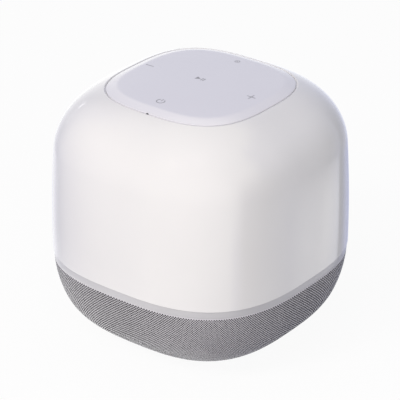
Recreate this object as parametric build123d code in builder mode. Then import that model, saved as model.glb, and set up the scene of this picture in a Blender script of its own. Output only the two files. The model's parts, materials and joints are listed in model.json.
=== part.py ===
from build123d import *

import math
import os

# Driving dimensions in millimetres. The origin is on the surface the speaker stands on, under the
# middle of the body. +Z is up, the front is at -Y and the power socket at +Y.

# Body form: two arcs from the widest line up to the dome's crown, two arcs down to the flat underside
half_width = 55.0
shell_edge_z = 36.2
crown_z = 107.6
underside_z = 1.5
wall_arc = 590.0
shoulder_arc = 29.2
base_side_arc = 52.4
base_turn_arc = 24.4
plan_power = 2.85
top_power = 3.0
outline_points = 32
side_steps = 2
turn_steps = 5

# Shell and panel
shell_wall = 2.4
shell_step = 0.3
seam_half_width = 34.1
seam_gap = 0.5
ledge_z = 103.6
ledge_thickness = 2.2
ledge_outer = 38.3
ledge_inner = 31.0
crease_lean = 77.0
crown_rings = [(20.0, 107.3), (6.0, 107.6)]
panel_pocket = 30.0
panel_pocket_depth = 1.6
pinhole_radius = 0.6
shell_boss_height = 20.0
shell_boss_hole = 12.0
rib_size = (7.2, 1.6, 17.6)
rib_inset = 1.5
rib_lift = 2.4

# Band, grille and base frame
band_height = 3.3
band_inner = 51.2
tongue_outer = 52.3
tongue_height = 2.0
grille_sheet = 0.7
grille_opening = 30.9
grille_end_lean = 85.0
frame_clearance = 0.15
frame_wall = 2.2
window_count = 24
window_size = (26.0, 8.0, 17.0)
window_z = 12.0
window_start = 38.0
plug_half = 30.6
plug_height = 2.0
post_radius = 3.5
post_root = 0.5
post_bore = 1.5
head_recess_radius = 2.6
head_recess_depth = 2.0
foot_outer = 24.0
foot_inner = 17.0
foot_seat = 0.6
foot_play = 0.15
foot_chamfer = 0.3
diffuser_radius = 27.0
diffuser_edge = 1.2
diffuser_height = 14.6
diffuser_tip = 2.2

# Chassis
baffle_half = 50.8
baffle_thickness = 2.6
baffle_z = 33.6
baffle_hole = 23.6
baffle_collar_wall = 1.4
baffle_collar_height = 2.0
baffle_boss_height = 3.2
baffle_boss_roof = 0.8
gasket_thickness = 0.8
gasket_play = 0.4
chamber_half = 38.5
chamber_corner = 28.5
chamber_wall = 2.0
chamber_top_z = 68.0
chamber_edge_round = 1.2
flange_rim = 3.0
flange_thickness = 2.2
tab_width = 7.5
roof_post_radius = 2.8
fence_size = (1.2, 5.0, 2.5)
fence_play = 2.0
grommet_hole = 3.2
grommet_lip = 1.4
grommet_lip_height = 1.2
boss_radius = 3.5
slim_boss_radius = 3.0

# Driver, measured from its seat upwards
driver_gasket_thickness = 0.6
driver_ear = 3.0
flange_radius = 26.5
flange_plate = 1.5
basket_inner = 22.0
basket_depth = 12.0
basket_skirt = 1.2
basket_foot = 16.0
basket_wall = 1.4
rear_plate = 1.4
rear_hole = 8.0
spider_ledge_radius = 14.5
spider_ledge_height = 8.4
spider_ledge_plate = 1.0
window_reach = 14.0
basket_window = (14.0, 15.0, 6.3)
basket_window_height = 1.6
basket_vent = (10.0, 11.0, 2.0)
basket_vent_height = 9.8
tongue_start = 16.5
tongue_size = (9.0, 7.5)
plate_radius = 17.0
front_plate_height = 3.0
magnet_radius = 19.5
magnet_hole = 10.5
magnet_height = 8.0
magnet_chamfer = 0.6
yoke_radius = 17.5
yoke_height = 3.0
yoke_chamfer = 1.0
coil_inner = 6.5
coil_wall = 0.25
coil_winding = 0.45
former_start = 4.4
former_length = 13.5
winding_start = 12.6
winding_length = 4.8
air_gap = 0.3
outer_air_gap = 0.4
cone_rim_radius = 19.8
cone_edge_radius = 17.4
cone_drop = 1.4
cone_neck_height = 5.0
cone_neck_glue = 0.7
cone_paper = 0.4
cap_radius = 9.6
cap_lip = 0.6
cap_crown = 0.4
cap_thickness = 0.35
surround_roll = 1.6
surround_lips = (1.6, 3.2)
rubber_thickness = 0.5
spider_glue_gap = 0.1
spider_outer = 17.5
spider_flat = 14.2
spider_waves = 3
spider_amplitude = 0.6
spider_thickness = 0.4
points_per_wave = 8

# Boards, battery, socket and wires
board_z = 74.0
board_thickness = 1.6
board_length = 60.0
board_front_y = 3.0
board_rear_y = 36.0
board_corner = 3.0
connector_height = 2.6
connector_length = 4.0
touch_plug_y = 10.0
rear_plug_length = 5.0
battery_plug = (8.0, 5.5, 3.4)
battery_plug_inset = 0.5
header_size = (8.0, 5.0, 4.0)
amplifier_place = (5.0, 21.0)
amplifier_size = (8.0, 8.0, 1.0)
inductor_places = [(26.0, 14.0), (26.0, 22.0)]
inductor_size = (6.0, 6.0, 3.0)
can_place = (-13.0, 20.0)
can_size = (18.0, 18.0, 3.0)
can_sheet = 0.4
touch_board_half = 29.5
touch_board_thickness = 1.0
mark_distance = 25.5
lamp_size = (3.0, 1.5, 0.8)
controller_place = (-12.0, 10.0)
controller_size = (6.0, 6.0, 1.0)
touch_connector_y = 8.0
touch_connector_height = 1.2
boot_radius = 2.2
boot_height = 0.8
boot_play = 0.1
mic_board = (6.0, 5.0, 0.8)
mic_can = (3.6, 2.6, 1.0)
mic_port = 0.3
mic_flex_width = 3.0
mic_flex_reach = 4.2
mic_flex_bend = 1.5
power_board_y = 44.8
power_board_thickness = 1.2
power_board_size = (28.0, 13.0)
power_board_corner = 1.5
power_plug = (10.0, 4.0, 3.0)
port_z = 48.5
port_boss_length = 7.2
port_boss_hole = 5.5
port_play = (0.7, 0.6)
socket_size = (8.9, 3.2)
socket_length = 8.4
socket_sheet = 0.3
socket_depth = 6.5
socket_tongue = (6.7, 0.7)
socket_tongue_round = 0.3
socket_tongue_inset = 1.0
battery_size = (50.0, 28.0, 10.0)
battery_y = -19.0
battery_round = 2.0
battery_pad_margin = 3.0
battery_pad_height = 1.0
battery_wire_radius = 0.6
battery_wire_spacing = 2.4
battery_wire_end = 0.4
aerial_size = (0.5, 18.0, 10.0)
aerial_z = 57.0
lead_y = 22.0
lead_spacing = 3.6
lead_radius = 0.7
lead_play = 0.05
strip_y = 21.4
strip_size = (8.4, 4.6, 1.2)
lug_size = (1.8, 2.2, 1.0)
touch_ribbon_x = 16.0
touch_ribbon_bow = 24.0
ribbon_thickness = 0.3
ribbon_width = 8.0
ribbon_bend = 4.0
ribbon_grip = 1.0

# Screw places, and for each screw its shank radius and length, head radius and height
base_screw_radius = 31.0
driver_screw_radius = 28.0
shell_screw_radius = 50.0
chamber_tab = 43.5
board_screws_x = 24.0
board_screws_y = (7.0, 31.0)
port_screws_x = 10.5
base_screw = (1.2, 34.6, 2.3, 1.8)
driver_screw = (0.9, 6.0, 1.9, 1.4)
shell_screw = (1.05, 12.0, 2.2, 1.6)
chamber_screw = (1.0, 5.0, 1.9, 1.4)
board_screw = (0.85, 6.0, 1.9, 1.4)
thread_play = 0.1
free_play = 0.3

# Worked out from the above
band_z = shell_edge_z - band_height
baffle_top_z = baffle_z + baffle_thickness
baffle_boss = baffle_thickness + baffle_boss_height
driver_z = baffle_z - driver_gasket_thickness
gap_z = driver_z + basket_depth + rear_plate
yoke_z = gap_z + front_plate_height + magnet_height
flange_z = baffle_top_z + gasket_thickness
chamber_height = chamber_top_z - flange_z
board_top_z = board_z + board_thickness
board_mid_y = (board_front_y + board_rear_y) / 2
ribbon_z = board_top_z + connector_height / 2
touch_board_z = ledge_z + panel_pocket_depth - touch_board_thickness
boot_z = ledge_z - ledge_thickness - boot_height
mic_z = boot_z - mic_board[2]
socket_y = power_board_y + power_board_thickness
frame_inset = grille_sheet + frame_clearance
frame_floor_z = underside_z + frame_inset + frame_wall
diffuser_tip_z = frame_floor_z + diffuser_height
coil_outer = coil_inner + coil_wall
winding_outer = coil_outer + coil_winding
lug_top_z = gap_z + strip_size[2] + lug_size[2]
through_all = 2 * crown_z
quarter = math.pi / 2
up = (0, 0, 1)

# Each side is a chain of two arcs from the widest line: half width, both radii, the rise and its sense
upper_arcs = (half_width, wall_arc, shoulder_arc, crown_z - shell_edge_z, 1)
lower_arcs = (half_width - shell_step, base_side_arc, base_turn_arc, shell_edge_z - underside_z, -1)

# Places of repeated features
board_holes = [(x, y) for x in (-board_screws_x, board_screws_x) for y in board_screws_y]
port_holes = [(-port_screws_x, 0), (port_screws_x, 0)]
tab_places = [(chamber_tab, 0), (-chamber_tab, 0), (0, chamber_tab), (0, -chamber_tab)]
mark_places = [(0, 0), (mark_distance, 0), (-mark_distance, 0), (0, mark_distance), (0, -mark_distance)]
lead_places = [(-lead_spacing / 2, lead_y), (lead_spacing / 2, lead_y)]
driver_plane = Plane(origin=(0, 0, driver_z), x_dir=(1, 0, 0), z_dir=(0, -1, 0))
port_plane = Plane(origin=(0, socket_y, port_z), x_dir=(1, 0, 0), z_dir=(0, 1, 0))

# Ways a block stands on its place: on it, under it, or reaching outwards from it
standing = (Align.CENTER, Align.CENTER, Align.MIN)
hanging = (Align.CENTER, Align.CENTER, Align.MAX)
outward = (Align.MIN, Align.CENTER, Align.MIN)
rearward = (Align.CENTER, Align.MIN, Align.MIN)


# Square plan with bowed sides and soft corners
def squircle(height, half, power=plan_power):
    turns = [2 * math.pi * step / outline_points for step in range(outline_points)]
    reach = [(abs(math.cos(t)) ** power + abs(math.sin(t)) ** power) ** (-1 / power) for t in turns]
    points = [(half * r * math.cos(t), half * r * math.sin(t)) for t, r in zip(turns, reach)]
    with BuildSketch(Plane.XY.offset(height)) as sketch:
        with BuildLine():
            Spline(*points, periodic=True)
        make_face()
    return sketch.sketch


# Angle where the first arc of a side runs into the second one
def join_angle(arcs):
    _, first, second, rise, _ = arcs
    return math.asin((rise - second) / (first - second))


# Lean of a side on its first arc, at a distance from the widest line
def lean_at(arcs, distance, inset=0.0):
    return math.asin(distance / (arcs[1] - inset))


# Cross-section of the body where its side leans by this angle
def body_section(arcs, angle, inset=0.0):
    width, first, second, rise, sense = arcs
    join = join_angle(arcs)
    centre = width - first
    lift = 0.0
    radius = first
    if angle > join:
        centre += (first - second) * math.cos(join)
        lift = rise - second
        radius = second
    half = centre + (radius - inset) * math.cos(angle)
    lift += (radius - inset) * math.sin(angle)
    squareness = max(0.0, sense * lift / rise)
    power = plan_power + (top_power - plan_power) * squareness
    return squircle(shell_edge_z + sense * lift, half, power)


# Body side as two stacked lofts, one along each arc
def loft_side(arcs, inset=0.0, start=0.0, end=quarter, mode=Mode.ADD):
    join = join_angle(arcs)
    for first, last, steps in ((start, join, side_steps), (join, end, turn_steps)):
        angles = [first + (last - first) * step / steps for step in range(steps + 1)]
        loft([body_section(arcs, angle, inset) for angle in angles], mode=mode)


# Pan-head screw that drives upwards from the enclosing place
def pan_head_screw(shank_radius, length, head_radius, head_height):
    Cylinder(shank_radius, length, align=standing)
    Cylinder(head_radius, head_height, align=hanging)


# Places turned over, so that what is built there points down
def turned_over(places, height):
    return [Location((x, y, height), (180, 0, 0)) for x, y in places]


os.makedirs("parts", exist_ok=True)

# White upper shell: a domed thin wall with a ledge for the panel, screw bosses and the socket slot
with BuildPart() as main_shell:
    loft_side(upper_arcs)
    loft_side(upper_arcs, shell_wall, mode=Mode.SUBTRACT)
    extrude(squircle(ledge_z - ledge_thickness, ledge_outer, top_power), amount=ledge_thickness, dir=up)
    extrude(squircle(ledge_z, seam_half_width + seam_gap / 2, top_power), amount=through_all, dir=up,
            mode=Mode.SUBTRACT)
    extrude(squircle(ledge_z - ledge_thickness, ledge_inner, top_power), amount=through_all, dir=up,
            mode=Mode.SUBTRACT)
    with Locations((0, 0, shell_edge_z)):
        with PolarLocations(shell_screw_radius, 4, start_angle=45):
            Cylinder(boss_radius, shell_boss_height, align=standing)
    with Locations((0, 0, shell_edge_z + rib_lift)):
        with PolarLocations(shell_screw_radius + rib_inset, 4, start_angle=45):
            Box(*rib_size, align=outward)
    with Locations((0, 0, shell_edge_z)):
        with PolarLocations(shell_screw_radius, 4, start_angle=45):
            Cylinder(shell_screw[0] + thread_play, shell_boss_hole, align=standing, mode=Mode.SUBTRACT)
    with BuildSketch(port_plane):
        with Locations(*port_holes):
            Circle(slim_boss_radius)
    extrude(amount=port_boss_length)
    with BuildSketch(port_plane):
        with Locations(*port_holes):
            Circle(board_screw[0] + thread_play)
    extrude(amount=port_boss_hole, mode=Mode.SUBTRACT)
    with BuildSketch(port_plane):
        SlotOverall(socket_size[0] + port_play[0], socket_size[1] + port_play[1])
    extrude(amount=half_width, mode=Mode.SUBTRACT)
    with Locations((0, -seam_half_width, ledge_z - ledge_thickness)):
        Cylinder(pinhole_radius, through_all, align=standing, mode=Mode.SUBTRACT)
main_shell.part.label = "main_shell"
export_step(main_shell.part, "parts/main_shell.step")

# Touch panel: the same dome inside the hairline seam, with a nearly flat crown inside a fine crease
crease = math.radians(crease_lean)
with BuildPart() as touch_panel:
    loft_side(upper_arcs, end=crease)
    loft([body_section(upper_arcs, crease)] + [squircle(z, half, top_power) for half, z in crown_rings])
    extrude(squircle(ledge_z, seam_half_width - seam_gap / 2, top_power), amount=through_all, dir=up,
            mode=Mode.INTERSECT)
    extrude(squircle(ledge_z, panel_pocket, top_power), amount=panel_pocket_depth, dir=up,
            mode=Mode.SUBTRACT)
    with Locations((0, -seam_half_width, ledge_z)):
        Cylinder(pinhole_radius, through_all, align=standing, mode=Mode.SUBTRACT)
touch_panel.part.label = "touch_panel"
export_step(touch_panel.part, "parts/touch_panel.step")

# Touch board bonded in the pocket of the panel
with BuildPart() as touch_board:
    extrude(squircle(touch_board_z, touch_board_half, top_power), amount=touch_board_thickness, dir=up)
touch_board.part.label = "touch_board"
export_step(touch_board.part, "parts/touch_board.step")

# Lamps behind the five marks, the touch controller and the ribbon connector under the touch board
with BuildPart() as touch_parts:
    with Locations((0, 0, touch_board_z)):
        with Locations(*mark_places):
            Box(*lamp_size, align=hanging)
        with Locations(controller_place):
            Box(*controller_size, align=hanging)
        with Locations((touch_ribbon_x, touch_connector_y)):
            Box(ribbon_width + 2 * ribbon_grip, connector_length, touch_connector_height,
                align=(Align.CENTER, Align.MIN, Align.MAX))
touch_parts.part.label = "touch_parts"
export_step(touch_parts.part, "parts/touch_parts.step")

# Microphone under the pinhole: rubber boot, small board with its can, and a flat flex to the touch board
with BuildPart() as mic_boot:
    with Locations((0, -seam_half_width, boot_z)):
        Cylinder(boot_radius, boot_height, align=standing)
        Cylinder(pinhole_radius + boot_play, boot_height, align=standing, mode=Mode.SUBTRACT)
mic_boot.part.label = "mic_boot"
export_step(mic_boot.part, "parts/mic_boot.step")

with BuildPart() as microphone:
    with Locations((0, -seam_half_width, mic_z)):
        Box(*mic_board, align=standing)
        Cylinder(mic_port, mic_board[2], align=standing, mode=Mode.SUBTRACT)
        Box(*mic_can, align=hanging)
microphone.part.label = "microphone"
export_step(microphone.part, "parts/microphone.step")

flex_start_y = -seam_half_width + mic_board[1] / 2
flex_end_y = flex_start_y + mic_flex_reach
flex_z = mic_z + mic_board[2] / 2
with BuildPart() as mic_flex:
    with BuildSketch(Plane.YZ):
        with BuildLine() as mic_route:
            FilletPolyline((flex_start_y, flex_z), (flex_end_y, flex_z), (flex_end_y, touch_board_z),
                           radius=mic_flex_bend)
        trace(mic_route.line, line_width=ribbon_thickness)
    extrude(amount=mic_flex_width / 2, both=True)
mic_flex.part.label = "mic_flex"
export_step(mic_flex.part, "parts/mic_flex.step")

# Satin band between shell and grille, with a tongue that centres it in the shell
with BuildPart() as trim_ring:
    loft([body_section(lower_arcs, lean_at(lower_arcs, band_height * share)) for share in (0.0, 0.5, 1.0)])
    extrude(squircle(shell_edge_z, tongue_outer), amount=tongue_height, dir=up)
    extrude(squircle(band_z, band_inner), amount=band_height + tongue_height, dir=up, mode=Mode.SUBTRACT)
trim_ring.part.label = "trim_ring"
export_step(trim_ring.part, "parts/trim_ring.step")

# Mesh grille: a thin bowl pressed over the base frame, open underneath
grille_end = math.radians(grille_end_lean)
with BuildPart() as grille:
    loft_side(lower_arcs, 0.0, lean_at(lower_arcs, band_height), grille_end)
    loft_side(lower_arcs, grille_sheet, 0.0, grille_end, mode=Mode.SUBTRACT)
    extrude(squircle(0, grille_opening), amount=window_z, dir=up, mode=Mode.SUBTRACT)
grille.part.label = "grille"
export_step(grille.part, "parts/grille.step")

# Base frame: a slotted bowl that carries the grille, with hollow posts up to the baffle
with BuildPart() as base_frame:
    loft_side(lower_arcs, frame_inset, lean_at(lower_arcs, band_height, frame_inset))
    loft_side(lower_arcs, frame_inset + frame_wall, mode=Mode.SUBTRACT)
    extrude(squircle(underside_z, plug_half), amount=plug_height, dir=up)
    with Locations((0, 0, window_z)):
        with PolarLocations(window_start, window_count, start_angle=180 / window_count):
            Box(*window_size, align=outward, mode=Mode.SUBTRACT)
    with Locations((0, 0, frame_floor_z - post_root)):
        with PolarLocations(base_screw_radius, 4, start_angle=45):
            Cylinder(post_radius, baffle_z - frame_floor_z + post_root, align=standing)
    with Locations((0, 0, underside_z)):
        with PolarLocations(base_screw_radius, 4, start_angle=45):
            Cylinder(post_bore, baffle_z, align=standing, mode=Mode.SUBTRACT)
            Cylinder(head_recess_radius, head_recess_depth, align=standing, mode=Mode.SUBTRACT)
    extrude(squircle(underside_z, foot_outer + foot_play), amount=foot_seat, dir=up, mode=Mode.SUBTRACT)
    extrude(squircle(underside_z, foot_inner - foot_play), amount=foot_seat, dir=up)
base_frame.part.label = "base_frame"
export_step(base_frame.part, "parts/base_frame.step")

# Rubber foot: a soft-cornered ring seated in the underside
with BuildPart() as foot_pad:
    extrude(squircle(0, foot_outer), amount=underside_z + foot_seat, dir=up)
    extrude(squircle(0, foot_inner), amount=underside_z + foot_seat, dir=up, mode=Mode.SUBTRACT)
    chamfer(foot_pad.faces().sort_by(Axis.Z)[0].edges(), foot_chamfer)
foot_pad.part.label = "foot_pad"
export_step(foot_pad.part, "parts/foot_pad.step")

# Sound diffuser: a flared cone that turns the sound of the driver outwards
flare_edge = (diffuser_radius, frame_floor_z + diffuser_edge)
flare_tip = (diffuser_tip, diffuser_tip_z - diffuser_tip / 2)
with BuildPart() as sound_diffuser:
    with BuildSketch(Plane.XZ):
        with BuildLine():
            Line((0, frame_floor_z), (diffuser_radius, frame_floor_z))
            Line((diffuser_radius, frame_floor_z), flare_edge)
            TangentArc(flare_edge, flare_tip, tangent=(-1, 0))
            TangentArc((0, diffuser_tip_z), flare_tip, tangent=(1, 0))
            Line((0, diffuser_tip_z), (0, frame_floor_z))
        make_face()
    revolve(axis=Axis.Z)
sound_diffuser.part.label = "sound_diffuser"
export_step(sound_diffuser.part, "parts/sound_diffuser.step")

# Baffle: the plate that carries driver, chamber and shell
with BuildPart() as baffle:
    extrude(squircle(baffle_z, baffle_half), amount=baffle_thickness, dir=up)
    with Locations((0, 0, baffle_z)):
        with PolarLocations(base_screw_radius, 4, start_angle=45):
            Cylinder(slim_boss_radius, baffle_boss, align=standing)
        with PolarLocations(driver_screw_radius, 4):
            Cylinder(slim_boss_radius, baffle_boss, align=standing)
        Cylinder(baffle_hole + baffle_collar_wall, baffle_thickness + baffle_collar_height, align=standing)
        Cylinder(baffle_hole, through_all, align=standing, mode=Mode.SUBTRACT)
        with PolarLocations(base_screw_radius, 4, start_angle=45):
            Cylinder(base_screw[0] + thread_play, baffle_boss - baffle_boss_roof, align=standing,
                     mode=Mode.SUBTRACT)
        with PolarLocations(driver_screw_radius, 4):
            Cylinder(driver_screw[0] + thread_play, baffle_boss - baffle_boss_roof, align=standing,
                     mode=Mode.SUBTRACT)
        with PolarLocations(shell_screw_radius, 4, start_angle=45):
            Cylinder(shell_screw[0] + free_play, baffle_thickness, align=standing, mode=Mode.SUBTRACT)
        with Locations(*tab_places):
            Cylinder(chamber_screw[0] + thread_play, baffle_thickness, align=standing, mode=Mode.SUBTRACT)
baffle.part.label = "baffle"
export_step(baffle.part, "parts/baffle.step")

# Foam gasket under the chamber's flange
gasket_half = chamber_half + flange_rim
gasket_hole = chamber_half - chamber_wall + gasket_play
with BuildPart() as chamber_gasket:
    with BuildSketch(Plane.XY.offset(baffle_top_z)):
        RectangleRounded(2 * gasket_half, 2 * gasket_half, chamber_corner + flange_rim)
        RectangleRounded(2 * gasket_hole, 2 * gasket_hole, chamber_corner - chamber_wall + gasket_play,
                         mode=Mode.SUBTRACT)
    extrude(amount=gasket_thickness)
chamber_gasket.part.label = "chamber_gasket"
export_step(chamber_gasket.part, "parts/chamber_gasket.step")

# Rear chamber: the sealed tub behind the driver, with board posts and a battery fence on its roof
chamber_hollow = chamber_half - chamber_wall
with BuildPart() as rear_chamber:
    with BuildSketch(Plane.XY.offset(flange_z)):
        RectangleRounded(2 * chamber_half, 2 * chamber_half, chamber_corner)
    extrude(amount=chamber_height)
    fillet(rear_chamber.faces().sort_by(Axis.Z)[-1].edges(), chamber_edge_round)
    with BuildSketch(Plane.XY.offset(flange_z)):
        RectangleRounded(2 * gasket_half, 2 * gasket_half, chamber_corner + flange_rim)
        with Locations(*tab_places):
            Rectangle(tab_width, tab_width)
    extrude(amount=flange_thickness)
    with BuildSketch(Plane.XY.offset(flange_z)):
        RectangleRounded(2 * chamber_hollow, 2 * chamber_hollow, chamber_corner - chamber_wall)
    extrude(amount=chamber_height - chamber_wall, mode=Mode.SUBTRACT)
    with Locations((0, 0, chamber_top_z)):
        with Locations(*board_holes):
            Cylinder(roof_post_radius, board_z - chamber_top_z, align=standing)
            Cylinder(board_screw[0] + thread_play, board_z - chamber_top_z, align=standing,
                     mode=Mode.SUBTRACT)
        with Locations((0, battery_y)):
            with GridLocations(battery_size[0] + fence_play, battery_size[1] / 2, 2, 2):
                Box(*fence_size, align=standing)
    with Locations((0, 0, flange_z)):
        with Locations(*tab_places):
            Cylinder(chamber_screw[0] + free_play, flange_thickness, align=standing, mode=Mode.SUBTRACT)
    with Locations((0, lead_y, chamber_top_z)):
        Cylinder(grommet_hole, 2 * chamber_wall, mode=Mode.SUBTRACT)
rear_chamber.part.label = "rear_chamber"
export_step(rear_chamber.part, "parts/rear_chamber.step")

# Rubber grommet where the speaker leads leave the chamber
with BuildPart() as lead_grommet:
    with Locations((0, lead_y, chamber_top_z)):
        Cylinder(grommet_hole + grommet_lip, grommet_lip_height, align=standing)
        Cylinder(grommet_hole - lead_play, chamber_wall, align=hanging)
    with Locations((0, 0, chamber_top_z - chamber_wall)):
        with Locations(*lead_places):
            Cylinder(lead_radius + lead_play, through_all, align=standing, mode=Mode.SUBTRACT)
lead_grommet.part.label = "lead_grommet"
export_step(lead_grommet.part, "parts/lead_grommet.step")

# Gasket between the driver's flange and the baffle
with BuildPart() as driver_gasket:
    with BuildSketch(Plane.XY.offset(driver_z)):
        Circle(flange_radius)
        with PolarLocations(driver_screw_radius, 4):
            Circle(driver_ear)
        Circle(baffle_hole, mode=Mode.SUBTRACT)
        with PolarLocations(driver_screw_radius, 4):
            Circle(driver_screw[0] + free_play, mode=Mode.SUBTRACT)
    extrude(amount=driver_gasket_thickness)
driver_gasket.part.label = "driver_gasket"
export_step(driver_gasket.part, "parts/driver_gasket.step")


# Radius of the basket's inner wall at a height above the flange
def basket_radius(height):
    share = (height - basket_skirt) / (basket_depth - basket_skirt)
    return basket_inner + (basket_foot - basket_inner) * share


# Driver basket: pressed flange, conical wall with windows, spider ledge and rear plate
ledge_top = spider_ledge_height + spider_ledge_plate
with BuildPart() as driver_basket:
    with BuildSketch(driver_plane):
        with BuildLine():
            Polyline(
                (basket_inner, -flange_plate),
                (flange_radius, -flange_plate),
                (flange_radius, 0),
                (basket_inner + basket_wall, 0),
                (basket_inner + basket_wall, basket_skirt),
                (basket_foot + basket_wall, basket_depth),
                (basket_foot + basket_wall, basket_depth + rear_plate),
                (rear_hole, basket_depth + rear_plate),
                (rear_hole, basket_depth),
                (basket_foot, basket_depth),
                (basket_radius(ledge_top), ledge_top),
                (spider_ledge_radius, ledge_top),
                (spider_ledge_radius, spider_ledge_height),
                (basket_radius(spider_ledge_height), spider_ledge_height),
                (basket_inner, basket_skirt),
                close=True,
            )
        make_face()
    revolve(axis=Axis.Z)
    with Locations((0, 0, driver_z)):
        with PolarLocations(driver_screw_radius, 4):
            Cylinder(driver_ear, flange_plate, align=hanging)
            Cylinder(driver_screw[0] + free_play, 2 * flange_plate, mode=Mode.SUBTRACT)
        with Locations((0, 0, basket_window_height)):
            with PolarLocations(window_reach, 4, start_angle=45):
                Box(*basket_window, align=outward, mode=Mode.SUBTRACT)
        with Locations((0, 0, basket_vent_height)):
            with PolarLocations(window_reach, 4, start_angle=45):
                Box(*basket_vent, align=outward, mode=Mode.SUBTRACT)
        with Locations((0, tongue_start, basket_depth)):
            Box(*tongue_size, rear_plate, align=rearward)
driver_basket.part.label = "driver_basket"
export_step(driver_basket.part, "parts/driver_basket.step")

# Motor of the driver: front plate, ring magnet, and yoke with its pole
with BuildPart() as front_plate:
    with Locations((0, 0, gap_z)):
        Cylinder(plate_radius, front_plate_height, align=standing)
        Cylinder(winding_outer + outer_air_gap, front_plate_height, align=standing, mode=Mode.SUBTRACT)
front_plate.part.label = "front_plate"
export_step(front_plate.part, "parts/front_plate.step")

with BuildPart() as magnet:
    with Locations((0, 0, gap_z + front_plate_height)):
        Cylinder(magnet_radius, magnet_height, align=standing)
        Cylinder(magnet_hole, magnet_height, align=standing, mode=Mode.SUBTRACT)
    chamfer(magnet.edges().filter_by(GeomType.CIRCLE).sort_by(SortBy.RADIUS)[-2:], magnet_chamfer)
magnet.part.label = "magnet"
export_step(magnet.part, "parts/magnet.step")

with BuildPart() as yoke:
    with Locations((0, 0, gap_z)):
        Cylinder(coil_inner - air_gap, front_plate_height + magnet_height, align=standing)
    with Locations((0, 0, yoke_z)):
        Cylinder(yoke_radius, yoke_height, align=standing)
    chamfer(yoke.faces().sort_by(Axis.Z)[-1].edges(), yoke_chamfer)
yoke.part.label = "yoke"
export_step(yoke.part, "parts/yoke.step")

# Voice coil: thin former with the winding in the gap
with BuildPart() as voice_coil:
    with Locations((0, 0, driver_z + former_start)):
        Cylinder(coil_outer, former_length, align=standing)
    with Locations((0, 0, driver_z + winding_start)):
        Cylinder(winding_outer, winding_length, align=standing)
    with Locations((0, 0, driver_z)):
        Cylinder(coil_inner, through_all, align=standing, mode=Mode.SUBTRACT)
voice_coil.part.label = "voice_coil"
export_step(voice_coil.part, "parts/voice_coil.step")

# Cone with its flat rim, glued to the former
rim_top = cone_paper - cone_drop
with BuildPart() as cone:
    with BuildSketch(driver_plane):
        with BuildLine():
            Polyline(
                (coil_outer, cone_neck_height),
                (coil_outer, cone_neck_height + cone_neck_glue),
                (cone_edge_radius + cone_neck_glue, rim_top),
                (cone_rim_radius, rim_top),
                (cone_rim_radius, -cone_drop),
                (cone_edge_radius, -cone_drop),
                close=True,
            )
        make_face()
    revolve(axis=Axis.Z)
cone.part.label = "cone"
export_step(cone.part, "parts/cone.step")


# Place on the cone's front face at a radius
def on_cone(radius):
    share = (radius - coil_outer) / (cone_edge_radius - coil_outer)
    return (radius, cone_neck_height - (cone_neck_height + cone_drop) * share)


# Dust cap: a thin dome glued on the front of the cone
cap_back = cap_crown + cap_thickness
with BuildPart() as dust_cap:
    with BuildSketch(driver_plane):
        with BuildLine():
            TangentArc((0, cap_crown), on_cone(cap_radius), tangent=(1, 0))
            Line(on_cone(cap_radius), on_cone(cap_radius - cap_lip))
            TangentArc((0, cap_back), on_cone(cap_radius - cap_lip), tangent=(1, 0))
            Line((0, cap_back), (0, cap_crown))
        make_face()
    revolve(axis=Axis.Z)
dust_cap.part.label = "dust_cap"
export_step(dust_cap.part, "parts/dust_cap.step")

# Rubber surround: a half roll between the cone's rim and the flange
roll_radius = cone_rim_radius + surround_roll
roll_hollow = surround_roll - rubber_thickness / 2
with BuildPart() as surround:
    with BuildSketch(driver_plane):
        with Locations((roll_radius, -flange_plate)):
            Circle(roll_hollow + rubber_thickness)
            Circle(roll_hollow, mode=Mode.SUBTRACT)
            Rectangle(3 * surround_roll, 3 * surround_roll, align=(Align.CENTER, Align.MIN),
                      mode=Mode.SUBTRACT)
        with Locations((roll_radius - roll_hollow, -flange_plate)):
            Rectangle(surround_lips[0], rubber_thickness, align=(Align.MAX, Align.MAX))
        with Locations((roll_radius + roll_hollow, -flange_plate)):
            Rectangle(surround_lips[1], rubber_thickness, align=(Align.MIN, Align.MAX))
    revolve(axis=Axis.Z)
surround.part.label = "surround"
export_step(surround.part, "parts/surround.step")


# Points along the spider's corrugation, on its upper or lower face
def corrugation(height):
    start = coil_outer + spider_glue_gap
    steps = spider_waves * points_per_wave
    points = []
    for step in range(steps + 1):
        radius = start + (spider_flat - start) * step / steps
        wave = spider_amplitude * math.sin(2 * math.pi * step / points_per_wave)
        points.append((radius, height + wave))
    return points


# Corrugated spider that centres the coil
with BuildPart() as spider:
    with BuildSketch(driver_plane):
        upper = corrugation(spider_ledge_height)
        lower = corrugation(spider_ledge_height - spider_thickness)
        with BuildLine():
            Spline(*upper)
            Polyline(upper[-1], (spider_outer, upper[-1][1]), (spider_outer, lower[-1][1]), lower[-1])
            Spline(*lower)
            Line(lower[0], upper[0])
        make_face()
    revolve(axis=Axis.Z)
spider.part.label = "spider"
export_step(spider.part, "parts/spider.step")

# Terminal strip on the basket's tongue, with two lugs for the leads
with BuildPart() as terminal_strip:
    with Locations((0, strip_y, gap_z)):
        Box(*strip_size, align=standing)
    with Locations((0, 0, gap_z + strip_size[2])):
        with Locations(*lead_places):
            Box(*lug_size, align=standing)
terminal_strip.part.label = "terminal_strip"
export_step(terminal_strip.part, "parts/terminal_strip.step")

# Speaker leads from the lugs through the grommet to the header under the main board
with BuildPart() as speaker_leads:
    with Locations((0, 0, lug_top_z)):
        with Locations(*lead_places):
            Cylinder(lead_radius, board_z - header_size[2] - lug_top_z, align=standing)
speaker_leads.part.label = "speaker_leads"
export_step(speaker_leads.part, "parts/speaker_leads.step")

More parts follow.
